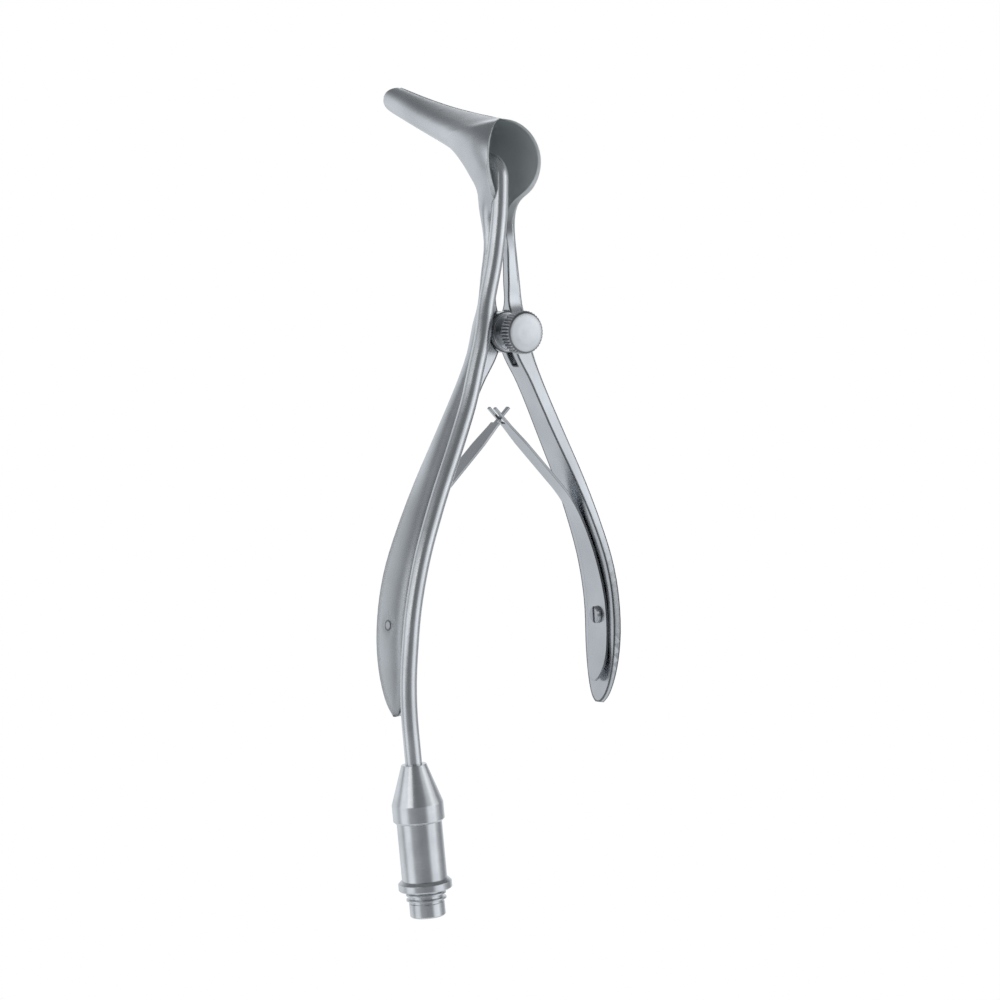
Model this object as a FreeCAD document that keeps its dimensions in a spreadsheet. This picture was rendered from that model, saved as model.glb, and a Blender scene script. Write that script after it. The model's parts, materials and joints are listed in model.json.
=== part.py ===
"""Nasal speculum with spring handles, a set screw and a light carrier on one arm.

The row's origin is the centre of the light connector's end face. +Z runs up the
instrument, +Y points forward along the blades and +X to the user's right.
The arms, springs and light tube are worked out about the pivot and then placed there.
"""
import FreeCAD, Part
import math
import os
import Sketcher

Vector = FreeCAD.Vector
Rotation = FreeCAD.Rotation
Placement = FreeCAD.Placement
ORIGIN = Vector(0, 0, 0)
FAR = 200.0  # further than any piece reaches
EDGE_STEPS = 4  # parts of an edge between the points that its skin is drawn through
HANDLE_STEPS = 30
FUNNEL_STEPS = 10
TUBE_BENDS = (("top", 3.0), ("joint", -6.0), ("joint", 2.5), ("joint", 11.0), ("grip", 11.0),
              ("palm", -3.0), ("palm", 10.0), ("bow", 1.0), ("heel", -8.0))  # mm past each mark

SIZES = [
    ("pivot_x", 25.9, "pivot axis, to the right of the light connector"),
    ("pivot_y", 7.8, "middle of the arms, forward of the light connector"),
    ("pivot_z", 138.5, "pivot axis, above the connector's end face"),
    ("shank_top_z", 20.0, "where the shank meets the funnel, above the pivot"),
    ("shank_top_x", 3.0, "middle of the shank there, off the middle plane"),
    ("shank_lean", 4.5, "degrees the shank leans outwards going down"),
    ("shank_length", 19.0, "straight shank"),
    ("hip_radius", 21.3, "bend beside the joint"),
    ("hip_turn", 21.7, "degrees"),
    ("grip_length", 26.0, "straight upper handle"),
    ("palm_radius", 194.0, "slow bend back"),
    ("palm_turn", 7.0, "degrees"),
    ("bow_radius", 66.2, "belly of the handle"),
    ("bow_turn", 19.0, "degrees"),
    ("heel_radius", 126.0, "inward curve to the handle's end"),
    ("heel_turn", 8.2, "degrees"),
    ("shank_thick", 3.0, "shank across the middle plane, at the funnel"),
    ("joint_thick", 4.9, "shank at the joint"),
    ("hip_swell", 1.3, "extra thickness beside the joint"),
    ("hip_swell_drop", 4.0, "its middle, below the joint"),
    ("hip_swell_run", 5.0, "its length scale"),
    ("grip_ease", 12.0, "belly over which the handle still thins from the joint"),
    ("spade_lead", 15.0, "below the upper handle, where it starts to flatten"),
    ("spade_settle", 2.0, "into the inward curve, where it is flat"),
    ("ear_run_in", 6.0, "above the hip, where the shank starts to deepen"),
    ("ear_run_out", 0.5, "above the hip, where it is as deep as the joint"),
    ("spade_widen", 5.0, "below the upper handle, where it starts to widen"),
    ("spade_wide", 10.0, "above the inward curve, where it is widest"),
    ("grip_thick", 4.2, "upper handle"),
    ("spade_thick", 2.8, "flat lower handle"),
    ("heel_thick", 1.8, "handle's end"),
    ("shank_depth", 2.3, "shank, front to back"),
    ("joint_depth", 6.5, "joint and upper handle, front to back"),
    ("spade_depth", 12.4, "lower handle, front to back"),
    ("arm_crown", 0.3, "rise of the arm's rounded outer face, as a share of its thickness"),
    ("heel_round", 20.0, "length over which the handle's end is rounded"),
    ("heel_fullness", 2.2, "power of that rounding, 2 for an ellipse"),
    ("heel_trim", 0.12, "cut off its very end"),
    ("ear_radius", 5.0, "round ears about the pivot"),
    ("ear_gap", 0.3, "clearance round an ear"),
    ("spot_face_radius", 4.8, "flats on the fork under the screw's head and the washer"),
    ("tongue_thick", 2.1, "ear of the left arm"),
    ("tongue_gap", 0.1, "clearance on each side of the tongue"),
    ("slot_run", 8.2, "how far below the pivot the fork's slot is cut"),
    ("slot_bite", 0.4, "how deep the slot still is there"),
    ("blade_tip_y", 46.9, "blade tip, forward of the pivot"),
    ("blade_tip_z", 57.3, "middle of the blade tip, above the pivot"),
    ("blade_tip_height", 6.3, "blade's height at its rounded tip"),
    ("blade_tip_corner", 2.4, "radius of the tip's corners"),
    ("blade_tip_slant", 1.5, "how far the lower edge runs on past the upper"),
    ("blade_sag", 0.9, "dip of the blade's upper edge"),
    ("blade_bow_root", 0.32, "rise of the blade's section at the funnel, as a share of its height"),
    ("blade_bow_tip", 0.43, "the same at the tip"),
    ("blade_rise", 15.0, "degrees the blade rises"),
    ("blade_floor_rise", 20.0, "degrees its lower edge rises"),
    ("blade_gap", 0.3, "between the closed blades"),
    ("sheet", 0.7, "thickness of blade and funnel"),
    ("edge_setback", 0.3, "edges of the sheet before the halves are parted"),
    ("neck_gap", 1.4, "inner edge of the neck, off the middle plane"),
    ("neck_sheet", 2.0, "thickness of the neck, where the funnel runs into the shank"),
    ("neck_bow", 0.28, "rise of the neck's section, as a share of its chord"),
    ("funnel_bow", 0.10, "the same half way up the funnel"),
    ("top_bow", 0.22, "what is added to it towards the funnel's top"),
    ("rim_turn", 165.0, "degrees of the rim from its top to the neck"),
    ("rim_half_width", 7.8, "funnel rim, from the middle plane"),
    ("rim_half_height", 10.4, "funnel rim"),
    ("rim_centre_z", 40.8, "funnel rim, above the pivot"),
    ("rim_top_y", -0.4, "rim where the halves meet"),
    ("rim_bow", 5.6, "how far the rim's sides stand back"),
    ("saddle_radius", 26.0, "sweep from the blade's lower edge into the shank"),
    ("saddle_turn", 52.0, "degrees of that sweep"),
    ("saddle_y", 20.5, "where the sweep leaves the blade's lower edge"),
    ("screw_radius", 1.5, "pivot screw's shank"),
    ("screw_head_radius", 2.9, "pivot screw's head"),
    ("screw_head_thick", 1.3, "pivot screw's head"),
    ("screw_slot_width", 0.7, "driver slots"),
    ("screw_bevel", 0.5, "bevel round the pivot screw's head"),
    ("screw_bevel_deep", 0.4, "its depth"),
    ("screw_edge", 0.35, "bevel round the spring screws' heads"),
    ("screw_slot_deep", 0.6, "the pivot screw's slot"),
    ("leaf_slot_deep", 0.45, "the spring screws' slots"),
    ("running_gap", 0.05, "radial clearance on the pivot screw"),
    ("washer_radius", 4.5, "washer under the set knob"),
    ("washer_thick", 0.6, "washer"),
    ("seat_gap", 0.1, "between joint, washer and knob when let go"),
    ("hub_radius", 4.2, "set knob's hub"),
    ("hub_length", 4.0, "set knob's hub"),
    ("knob_radius", 5.2, "set knob over its knurl"),
    ("knob_length", 3.2, "set knob's head"),
    ("knob_chamfer", 0.6, "edge of the knob's face"),
    ("knob_dome", 0.35, "rise of the knob's face"),
    ("knob_blind", 1.3, "metal left between the knob's thread and its face"),
    ("knurl_count", 40, "teeth on the knob"),
    ("knurl_deep", 0.35, "depth of the grooves between them"),
    ("tube_radius", 2.0, "light tube, outside"),
    ("tube_wall", 0.4, "light tube's wall"),
    ("tube_seat", 0.25, "how far the tube is let into the arm"),
    ("tube_corner_seat", 0.4, "the same beside the joint, where it rounds a corner"),
    ("tube_aside", -0.1, "tube's axis outside the arm's middle"),
    ("tube_bypass", 3.3, "how far the tube stands out to clear the set knob"),
    ("tube_bypass_drop", 4.0, "the bulge's middle, below the joint"),
    ("tube_bypass_run", 13.0, "length scale of that bulge"),
    ("exit_x", 2.3, "light exit, off the middle plane"),
    ("exit_y", 5.0, "light exit, forward of the pivot"),
    ("exit_rise", 0.9, "light exit, above the middle of the rim"),
    ("elbow_x", 1.8, "tube's elbow, off the middle plane"),
    ("elbow_y", 2.9, "tube's elbow, behind the pivot"),
    ("elbow_drop", 1.6, "tube's elbow, below the light exit"),
    ("throat_x", 1.9, "tube below its elbow, off the middle plane"),
    ("throat_z", 29.5, "tube below its elbow, above the pivot"),
    ("tube_straight", 17.0, "straight tube above the cone"),
    ("fibre_gap", 0.05, "between fibre bundle and tube"),
    ("lens_thick", 0.8, "light exit lens"),
    ("connector_tilt", 6.3, "degrees the connector leans"),
    ("post_radius", 4.25, "plug end of the light connector"),
    ("post_length", 3.3, "plug end"),
    ("post_chamfer", 0.3, "edge of the plug end"),
    ("core_radius", 3.4, "post's core inside the connector"),
    ("thread_radius", 4.8, "threaded ring"),
    ("thread_length", 3.2, "threaded ring"),
    ("thread_deep", 0.8, "threaded ring's grooves"),
    ("thread_flank", 0.15, "slope of its crests"),
    ("flange_radius", 6.4, "stop flange"),
    ("flange_length", 2.4, "stop flange"),
    ("flange_bevel", 0.7, "its upper edge"),
    ("flange_chamfer", 0.25, "its lower edge"),
    ("barrel_radius", 5.4, "connector barrel"),
    ("barrel_length", 14.0, "connector barrel"),
    ("collar_radius", 6.15, "wide end of the cone"),
    ("collar_length", 4.4, "wide end of the cone"),
    ("collar_chamfer", 0.5, "its lower edge"),
    ("cone_length", 9.4, "cone"),
    ("cone_mouth_radius", 3.0, "cone where the tube enters"),
    ("tube_socket", 10.4, "how deep the tube sits in the cone"),
    ("window_radius", 2.5, "glass at the connector's end"),
    ("window_thick", 0.8, "glass at the connector's end"),
    ("window_inset", 0.15, "glass below the end face"),
    ("leaf_thick", 0.6, "leaf springs"),
    ("leaf_gap", 0.1, "between a leaf, the handle and the screw's head"),
    ("leaf_screw_drop", 69.5, "spring screws below the pivot"),
    ("leaf_lean", 1.5, "degrees a leaf leans off the handle at its screw"),
    ("leaf_tail", 16.4, "leaf below its screw"),
    ("leaf_tail_round", 8.0, "length over which its end is rounded"),
    ("leaf_tail_trim", 0.05, "cut off its very end"),
    ("leaf_tail_radius", 50.0, "its bend"),
    ("leaf_sweep_radius", 71.6, "leaf's slow bend above its screw"),
    ("leaf_sweep_turn", 18.7, "degrees"),
    ("leaf_knee_radius", 31.6, "bend that sends the leaf inwards"),
    ("leaf_knee_turn", 21.0, "degrees"),
    ("leaf_width", 7.6, "leaf at its screw"),
    ("leaf_neck_width", 4.8, "leaf above its knee"),
    ("leaf_neck_drop", 8.0, "below the knee, where the leaf has narrowed to its neck"),
    ("leaf_end_width", 3.4, "leaf at its fork"),
    ("leaf_taper_drop", 27.0, "where the neck starts to narrow, below the pivot"),
    ("prong_length", 3.4, "fork and tongue past the crossing"),
    ("prong_slot", 1.7, "slot between the fork's prongs"),
    ("leaf_tongue_width", 1.1, "tongue that passes through it"),
    ("crossing_room", 1.3, "fork's base and tongue's shoulders before the crossing"),
    ("shoulder", 0.8, "straight sides below them"),
    ("leaf_screw_radius", 1.0, "spring screw's shank"),
    ("leaf_hole_gap", 0.1, "clearance round it in the leaf"),
    ("leaf_head_radius", 2.1, "spring screw's head"),
    ("leaf_head_thick", 0.9, "spring screw's head"),
]

doc = FreeCAD.newDocument("NasalSpeculum")
sheet = doc.addObject("Spreadsheet::Sheet", "Sizes")


def fill_sheet():
    """Write every driving size into the sheet, one row each."""
    for row, (alias, number, note) in enumerate(SIZES, start=1):
        sheet.set("A%d" % row, alias)
        sheet.set("B%d" % row, str(number))
        sheet.set("C%d" % row, note)
        sheet.setAlias("B%d" % row, alias)
    doc.recompute()


def size(alias):
    """Read one driving size from the sheet."""
    return float(sheet.get(alias))


def eased(first, last, position, start, end):
    """Go smoothly from first to last while position goes from start to end."""
    share = min(1.0, max(0.0, (position - start) / (end - start)))
    return first + (last - first) * share * share * (3.0 - 2.0 * share)


def bump(position, centre, run):
    """A smooth rise that is 1 at its centre and dies away over its run."""
    return math.exp(-((position - centre) / run) ** 2)


def arc_length(name):
    """Length of a named arc from its radius and its turn."""
    return size(name + "_radius") * math.radians(size(name + "_turn"))


class Line:
    """A line of straight and round stretches in the plane of the arms."""

    def __init__(self, start, lean, legs):
        self.start = start
        self.lean = lean
        self.legs = legs
        self.length = sum(length for length, turn in legs)

    def at(self, run):
        """Point and lean in radians, run mm along the line, going down."""
        spot = self.start
        lean = self.lean
        left = run
        for length, turn in self.legs:
            step = min(left, length)
            bend = math.radians(turn) * step / length
            middle = lean + bend / 2.0
            chord = step if bend == 0 else step * math.sin(bend / 2.0) / (bend / 2.0)
            spot = spot + Vector(math.sin(middle), 0, -math.cos(middle)) * chord
            lean += bend
            left -= step
            if left <= 0:
                break
        return spot, lean


class ArmLine(Line):
    """The right arm's centre line below the funnel, with its thickness and depth."""

    def __init__(self):
        legs = [
            (size("shank_length"), 0.0),
            (arc_length("hip"), size("hip_turn")),
            (size("grip_length"), 0.0),
            (arc_length("palm"), -size("palm_turn")),
            (arc_length("bow"), -size("bow_turn")),
            (arc_length("heel"), -size("heel_turn")),
        ]
        start = Vector(size("shank_top_x"), 0, size("shank_top_z"))
        super().__init__(start, math.radians(size("shank_lean")), legs)
        marks = [0.0]
        for length, turn in legs:
            marks.append(marks[-1] + length)
        self.top, self.joint, self.grip, self.palm, self.bow, self.heel = marks[:6]

    def run_at_drop(self, drop):
        """The run at which the centre line is drop mm below the pivot."""
        low, high = 0.0, self.length
        while high - low > 1e-6:
            middle = (low + high) / 2.0
            if -self.at(middle)[0].z < drop:
                low = middle
            else:
                high = middle
        return low

    def thickness(self, run):
        """Arm's thickness square to its centre line."""
        if run < self.joint:
            shank = size("shank_thick")
            base = shank + (size("joint_thick") - shank) * run / self.joint
        else:
            base = eased(size("joint_thick"), size("grip_thick"), run,
                         self.joint, self.grip + size("grip_ease"))
        base += eased(0, size("spade_thick") - size("grip_thick"), run,
                      self.grip + size("spade_lead"), self.bow + size("spade_settle"))
        base += eased(0, size("heel_thick") - size("spade_thick"), run, self.heel, self.length)
        return base + size("hip_swell") * bump(run, self.joint + size("hip_swell_drop"),
                                               size("hip_swell_run"))

    def half_depth(self, run):
        """Half of the arm's depth, front to back."""
        joint = size("joint_depth") / 2.0
        spade = size("spade_depth") / 2.0
        if run < self.joint:
            return eased(size("shank_depth") / 2.0, joint, run,
                         self.joint - size("ear_run_in"), self.joint - size("ear_run_out"))
        depth = eased(joint, spade, run,
                      self.grip + size("spade_widen"), self.heel - size("spade_wide"))
        into_end = (run - self.length + size("heel_round")) / size("heel_round")
        if into_end > 0:
            depth *= math.sqrt(max(0.0, 1.0 - into_end ** size("heel_fullness")))
        return depth

    def inner_face(self, run):
        """Point on the arm's flat inner face, the outward direction and the lean there."""
        spot, lean = self.at(run)
        outward = Vector(math.cos(lean), 0, math.sin(lean))
        return spot - outward * (self.thickness(run) / 2.0), outward, lean

    def section(self, run):
        """Station of the arm, flat inside and crowned outside."""
        inner, outward, lean = self.inner_face(run)
        thick = self.thickness(run)
        half = self.half_depth(run)
        crown = size("arm_crown") * thick
        edge = inner + outward * (thick - crown)
        forward = Vector(0, half, 0)
        return Section(bowed(edge + forward, edge - forward, outward * crown),
                       bowed(inner + forward, inner - forward, Vector(0, 0, 0)))


def bowed(first, last, rise):
    """Points of a circular edge from first to last that rises by the vector rise."""
    chord = last - first
    sagitta = rise.Length
    if sagitta < 1e-6:
        return [first + chord * (step / float(EDGE_STEPS)) for step in range(EDGE_STEPS + 1)]
    radius = (chord.Length ** 2 / 4.0 + sagitta ** 2) / (2.0 * sagitta)
    half_angle = 2.0 * math.atan(2.0 * sagitta / chord.Length)
    along = chord * (1.0 / chord.Length)
    up = rise * (1.0 / sagitta)
    centre = (first + last) * 0.5 + up * (sagitta - radius)
    spots = []
    for step in range(EDGE_STEPS + 1):
        angle = half_angle * (2.0 * step / EDGE_STEPS - 1.0)
        spots.append(centre + along * (radius * math.sin(angle)) + up * (radius * math.cos(angle)))
    return spots


class Section:
    """One station of an arm: its outer and inner faces, each from front edge to back edge."""

    def __init__(self, outer, inner):
        self.outer = outer
        self.inner = inner


def skin(rows):
    """A smooth surface through rows of points."""
    surface = Part.BSplineSurface()
    surface.interpolate(rows)
    return surface


def strip_between(surface, first, last):
    """The face of a surface between two of the rows that it was made through."""
    part = surface.copy()
    rows = surface.getUKnots()
    across = surface.getVKnots()
    part.segment(rows[first], rows[last], across[0], across[-1])
    return part.toShape()


def solid_through(sections, breaks):
    """A closed solid skinned through sections, with ruled edges and flat ends.

    The skins are smooth all along and are divided into faces at the breaks.
    """
    outer = skin([section.outer for section in sections])
    inner = skin([section.inner for section in sections])
    faces = []
    for first, last in zip(breaks, breaks[1:]):
        pair = [strip_between(outer, first, last), strip_between(inner, first, last)]
        span = sections[first:last + 1]
        for end in (0, -1):
            outer_side = boundary(pair[0], [section.outer[end] for section in span])
            inner_side = boundary(pair[1], [section.inner[end] for section in span])
            faces.append(Part.makeRuledSurface(outer_side, inner_side))
        for end, at_end in ((0, first == breaks[0]), (-1, last == breaks[-1])):
            if at_end:
                outer_end = boundary(pair[0], span[end].outer)
                inner_end = boundary(pair[1], span[end].inner)
                faces.append(Part.makeRuledSurface(outer_end, inner_end))
        faces += pair
    shell = Part.Shell(Part.makeCompound(faces).Faces)
    shell.sewShape()
    solid = Part.makeSolid(shell)
    if solid.Volume < 0:
        solid.reverse()
    return solid


def boundary(face, points):
    """The face's edge that runs between the first and last of the points."""
    ends = (points[0], points[-1])
    return min(face.Edges, key=lambda edge: min(
        edge.Vertexes[0].Point.distanceToPoint(ends[0]) + edge.Vertexes[-1].Point.distanceToPoint(ends[1]),
        edge.Vertexes[0].Point.distanceToPoint(ends[1]) + edge.Vertexes[-1].Point.distanceToPoint(ends[0])))


def sheet_section(front, back, share, thick):
    """Section of the blade or funnel: a bowed strip from its front edge to its back edge."""
    chord = back - front
    along = chord * (1.0 / chord.Length)
    across = Vector(1, 0, 0) - along * along.x
    across.normalize()
    rise = share * chord.Length
    angle = 2.0 * math.atan(2.0 * share)
    inward = along * math.sin(angle) - across * math.cos(angle)
    outward = along * -math.sin(angle) - across * math.cos(angle)
    inner_rise = rise - thick * (1.0 - math.cos(angle))
    return Section(bowed(front, back, across * rise),
                   bowed(front + inward * thick, back + outward * thick, across * inner_rise))


def rim_point(angle):
    """Point of the funnel's rim, angle degrees from its top."""
    turn = math.radians(angle)
    return Vector(size("rim_half_width") * math.sin(turn),
                  size("rim_top_y") - size("rim_bow") * math.sin(turn),
                  size("rim_centre_z") + size("rim_half_height") * math.cos(turn))


def floor_point(run):
    """Point of the front edge, run mm back from where it leaves the blade's lower edge.

    A negative run lies on the blade's straight lower edge, a positive one on the sweep.
    """
    rise = math.radians(size("blade_floor_rise"))
    tip_low = size("blade_tip_z") - size("blade_tip_height") / 2.0
    start = Vector(0, size("saddle_y"), 0)
    start.z = tip_low - (size("blade_tip_y") - size("saddle_y")) * math.tan(rise)
    if run <= 0:
        return start - Vector(0, math.cos(rise), math.sin(rise)) * run
    turn = run / size("saddle_radius")
    middle = rise + turn / 2.0
    chord = 2.0 * size("saddle_radius") * math.sin(turn / 2.0)
    return start - Vector(0, math.cos(middle), math.sin(middle)) * chord


def blade_sections():
    """Stations from the blade's tip back to the funnel."""
    edge = size("blade_gap") / 2.0 + size("edge_setback")
    half = size("blade_tip_height") / 2.0
    tip_back = Vector(0, size("blade_tip_y"), size("blade_tip_z") + half)
    tip_front = Vector(0, size("blade_tip_y") + size("blade_tip_slant"), size("blade_tip_z") - half)
    top = rim_point(0)
    floor = floor_point(0)
    stations = []
    for share in (1.03, 0.85, 0.68, 0.52, 0.38, 0.26, 0.16, 0.07):
        back = top + (tip_back - top) * share
        back.z -= size("blade_sag") * math.sin(math.pi * min(share, 1.0))
        front = floor + (tip_front - floor) * share
        front.x = edge
        back.x = edge
        bow = eased(size("blade_bow_root"), size("blade_bow_tip"), share, 0.0, 1.0)
        stations.append(sheet_section(front, back, bow, size("sheet")))
    return stations


def funnel_sections():
    """Stations round the funnel, from the top of its rim down into the shank."""
    edge = size("blade_gap") / 2.0 + size("edge_setback")
    sweep = size("saddle_radius") * math.radians(size("saddle_turn"))
    stations = []
    for step in range(FUNNEL_STEPS):
        share = 1.0 - step / float(FUNNEL_STEPS)
        back = rim_point(size("rim_turn") * (1.0 - share))
        front = floor_point(sweep * (1.0 - share))
        front.x = eased(size("neck_gap"), edge, share, 0, 0.6)
        back.x = max(back.x, edge)
        bow = eased(size("neck_bow"), size("funnel_bow"), share, 0.0, 0.3)
        bow += size("top_bow") * max(0.0, share - 0.2) / 0.8
        thick = eased(size("neck_sheet"), size("sheet"), share, 0.0, 0.5)
        stations.append(sheet_section(front, back, bow, thick))
    return stations


def cylinder_y(radius, back, front):
    """A cylinder about the pivot axis, between two depths."""
    return Part.makeCylinder(radius, front - back, Vector(0, back, 0), Vector(0, 1, 0))


def block(low, high):
    """A box between two corners."""
    span = high - low
    return Part.makeBox(span.x, span.y, span.z, low)


def handle_sections(line):
    """Stations from the shank's top down to the handle's end."""
    last = line.length - size("heel_trim")
    stations = []
    for step in range(HANDLE_STEPS + 1):
        share = step / float(HANDLE_STEPS)
        stations.append(line.section(last * (1.0 - (1.0 - share) ** 1.15)))
    return stations


def blade_tip_trim():
    """What is cut off beyond the blade's tip, whose corners are rounded."""
    half = size("blade_tip_height") / 2.0
    corner = size("blade_tip_corner")
    kept = block(Vector(-FAR, -FAR, -half), Vector(FAR, 0, half))
    kept = kept.makeFillet(corner, [edge for edge in kept.Edges
                                    if edge.BoundBox.YMin > -1e-6 and edge.BoundBox.XLength > FAR])
    ahead = block(Vector(-FAR, -corner, -FAR), Vector(FAR, FAR, FAR)).cut(kept)
    ahead.rotate(ORIGIN, Vector(1, 0, 0), size("blade_rise"))
    ahead.translate(Vector(0, size("blade_tip_y"), size("blade_tip_z")))
    return ahead


def bare_arm(line):
    """The right arm before its joint is cut: blade, funnel, shank and handle in one."""
    sections = blade_sections() + funnel_sections() + handle_sections(line)
    rows_where_faces_meet = [0, 4, 8, 11, 14, 18, 22, 27, 33, 40, 48]
    arm = solid_through(sections, rows_where_faces_meet).cut(blade_tip_trim())
    across = block(Vector(-FAR, -FAR, size("shank_top_z") - size("neck_sheet")),
                   Vector(size("blade_gap") / 2.0, FAR, FAR))
    return arm.cut(across)


def right_arm_shape(line):
    """Right arm: its joint is a fork, cut to take the other arm's tongue."""
    half = size("joint_depth") / 2.0
    slot = size("tongue_thick") / 2.0 + size("tongue_gap")
    arm = bare_arm(line).fuse(cylinder_y(size("ear_radius"), -half, half))
    arm = arm.cut(cylinder_y(size("ear_radius") + size("ear_gap"), -slot, slot))
    foot_x = line.inner_face(line.run_at_drop(size("slot_run")))[0].x
    arm = arm.cut(block(Vector(-size("ear_radius"), -slot, -size("slot_run")),
                        Vector(foot_x + size("slot_bite"), slot, 0)))
    arm = arm.cut(cylinder_y(size("screw_radius") + size("running_gap"), -FAR, FAR))
    arm = arm.cut(cylinder_y(size("spot_face_radius"), half, FAR))
    arm = arm.cut(cylinder_y(size("spot_face_radius"), -FAR, -half))
    return arm.cut(leaf_screw_hole(line))


def left_arm_shape(line, tube):
    """Left arm: its joint is a tongue, with round shoulders for the fork, and a seat for the tube."""
    tongue = size("tongue_thick") / 2.0
    clear = size("ear_radius") + size("ear_gap")
    arm = bare_arm(line).mirror(ORIGIN, Vector(1, 0, 0))
    arm = arm.cut(cylinder_y(clear, -FAR, -tongue))
    arm = arm.cut(cylinder_y(clear, tongue, FAR))
    arm = arm.fuse(cylinder_y(size("ear_radius"), -tongue, tongue))
    arm = arm.cut(cylinder_y(size("screw_radius"), -tongue, tongue))
    arm = arm.cut(leaf_screw_hole(line).mirror(ORIGIN, Vector(1, 0, 0)))
    return arm.cut(tube)


def leaf_screw_hole(line):
    """The hole through the right handle that its spring screw fills."""
    spot, outward, _ = line.inner_face(line.run_at_drop(size("leaf_screw_drop")))
    return Part.makeCylinder(size("leaf_screw_radius"), 2 * FAR, spot - outward * FAR, outward)


def leaf_line(line):
    """The right leaf's centre line, from its screw up to the end of its prongs."""
    spot, outward, lean = line.inner_face(line.run_at_drop(size("leaf_screw_drop")))
    foot = spot - outward * (size("leaf_gap") + size("leaf_thick") / 2.0)
    lean += math.radians(size("leaf_lean"))
    sweep = Line(foot, lean, [])
    legs = [(-arc_length("leaf_sweep"), size("leaf_sweep_turn")),
            (-arc_length("leaf_knee"), size("leaf_knee_turn"))]
    for length, turn in legs:
        bend = math.radians(turn)
        chord = length * math.sin(bend / 2.0) / (bend / 2.0)
        middle = sweep.lean + bend / 2.0
        end = sweep.start + Vector(math.sin(middle), 0, -math.cos(middle)) * chord
        sweep = Line(end, sweep.lean + bend, [])
    return foot, lean, sweep.start, sweep.lean


def leaf_strip(line):
    """The right leaf as a bent strip of full width."""
    foot, _, knee, lean = leaf_line(line)
    up = Vector(-math.sin(lean), 0, math.cos(lean))
    straight = knee.x / math.sin(lean) + size("prong_length")
    tail = size("leaf_tail")
    legs = [(straight, 0.0),
            (arc_length("leaf_knee"), -size("leaf_knee_turn")),
            (arc_length("leaf_sweep"), -size("leaf_sweep_turn")),
            (tail, -math.degrees(tail / size("leaf_tail_radius")))]
    path = Line(knee + up * straight, lean, legs)
    half = size("leaf_thick") / 2.0
    sides = []
    for offset in (-half, half):
        edges = []
        run = 0.0
        for length, turn in legs:
            spots = []
            for share in (0.0, 0.5, 1.0):
                spot, slope = path.at(run + length * share)
                spots.append(spot + Vector(math.cos(slope), 0, math.sin(slope)) * offset)
            if turn == 0:
                edges.append(Part.LineSegment(spots[0], spots[2]).toShape())
            else:
                edges.append(Part.Arc(*spots).toShape())
            run += length
        sides.append(edges)
    caps = [Part.LineSegment(sides[0][end].Vertexes[end].Point, sides[1][end].Vertexes[end].Point)
            for end in (0, -1)]
    wire = Part.Wire(Part.__sortEdges__(sides[0] + sides[1] + [cap.toShape() for cap in caps]))
    reach = size("leaf_width")
    strip = Part.Face(wire).extrude(Vector(0, 2 * reach, 0))
    strip.translate(Vector(0, -reach, 0))
    return strip, foot


def leaf_outline(widths, tail_z):
    """A prism that gives a leaf its outline seen from the side: pairs of height and half width.

    The tail is half an ellipse, from the first pair down to tail_z.
    """
    low, half = widths[0]
    tail = Part.BSplineCurve()
    tail.interpolate([Vector(-FAR, -half * math.cos(math.radians(angle)),
                             low - (low - tail_z) * math.sin(math.radians(angle)))
                      for angle in range(0, 181, 15)])
    corners = [Vector(-FAR, side * half, z) for side, pairs in ((1, widths), (-1, widths[::-1]))
               for z, half in pairs]
    edges = [Part.LineSegment(corners[i], corners[i + 1]).toShape() for i in range(len(corners) - 1)]
    wire = Part.Wire(Part.__sortEdges__(edges + [tail.toShape()]))
    return Part.Face(wire).extrude(Vector(2 * FAR, 0, 0))


def leaf_shape(line, forked):
    """Right leaf spring, ending in a fork or in a tongue."""
    strip, foot = leaf_strip(line)
    _, _, knee, lean = leaf_line(line)
    meet_z = knee.z + knee.x / math.tan(lean)
    wide = size("leaf_width") / 2.0
    neck = size("leaf_neck_width") / 2.0
    end = size("leaf_end_width") / 2.0
    base_z = meet_z - size("crossing_room")
    tail_z = foot.z - size("leaf_tail")
    widths = [(tail_z + size("leaf_tail_round"), wide), (foot.z + wide, wide),
              (knee.z - size("leaf_neck_drop"), neck), (-size("leaf_taper_drop"), neck),
              (base_z - size("shoulder"), end), (FAR, end)]
    leaf = strip.common(leaf_outline(widths, tail_z + size("leaf_tail_trim")))
    if forked:
        slot = size("prong_slot") / 2.0
        leaf = leaf.cut(block(Vector(-FAR, -slot, base_z), Vector(FAR, slot, FAR)))
    else:
        tongue = size("leaf_tongue_width") / 2.0
        leaf = leaf.cut(block(Vector(-FAR, tongue, base_z), Vector(FAR, FAR, FAR)))
        leaf = leaf.cut(block(Vector(-FAR, -FAR, base_z), Vector(FAR, -tongue, FAR)))
    spot, outward, _ = line.inner_face(line.run_at_drop(size("leaf_screw_drop")))
    reach = size("leaf_thick") + 2 * size("leaf_gap")
    hole = Part.makeCylinder(size("leaf_screw_radius") + size("leaf_hole_gap"), 2 * reach,
                             spot - outward * 2 * reach, outward)
    return leaf.cut(hole)


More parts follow.
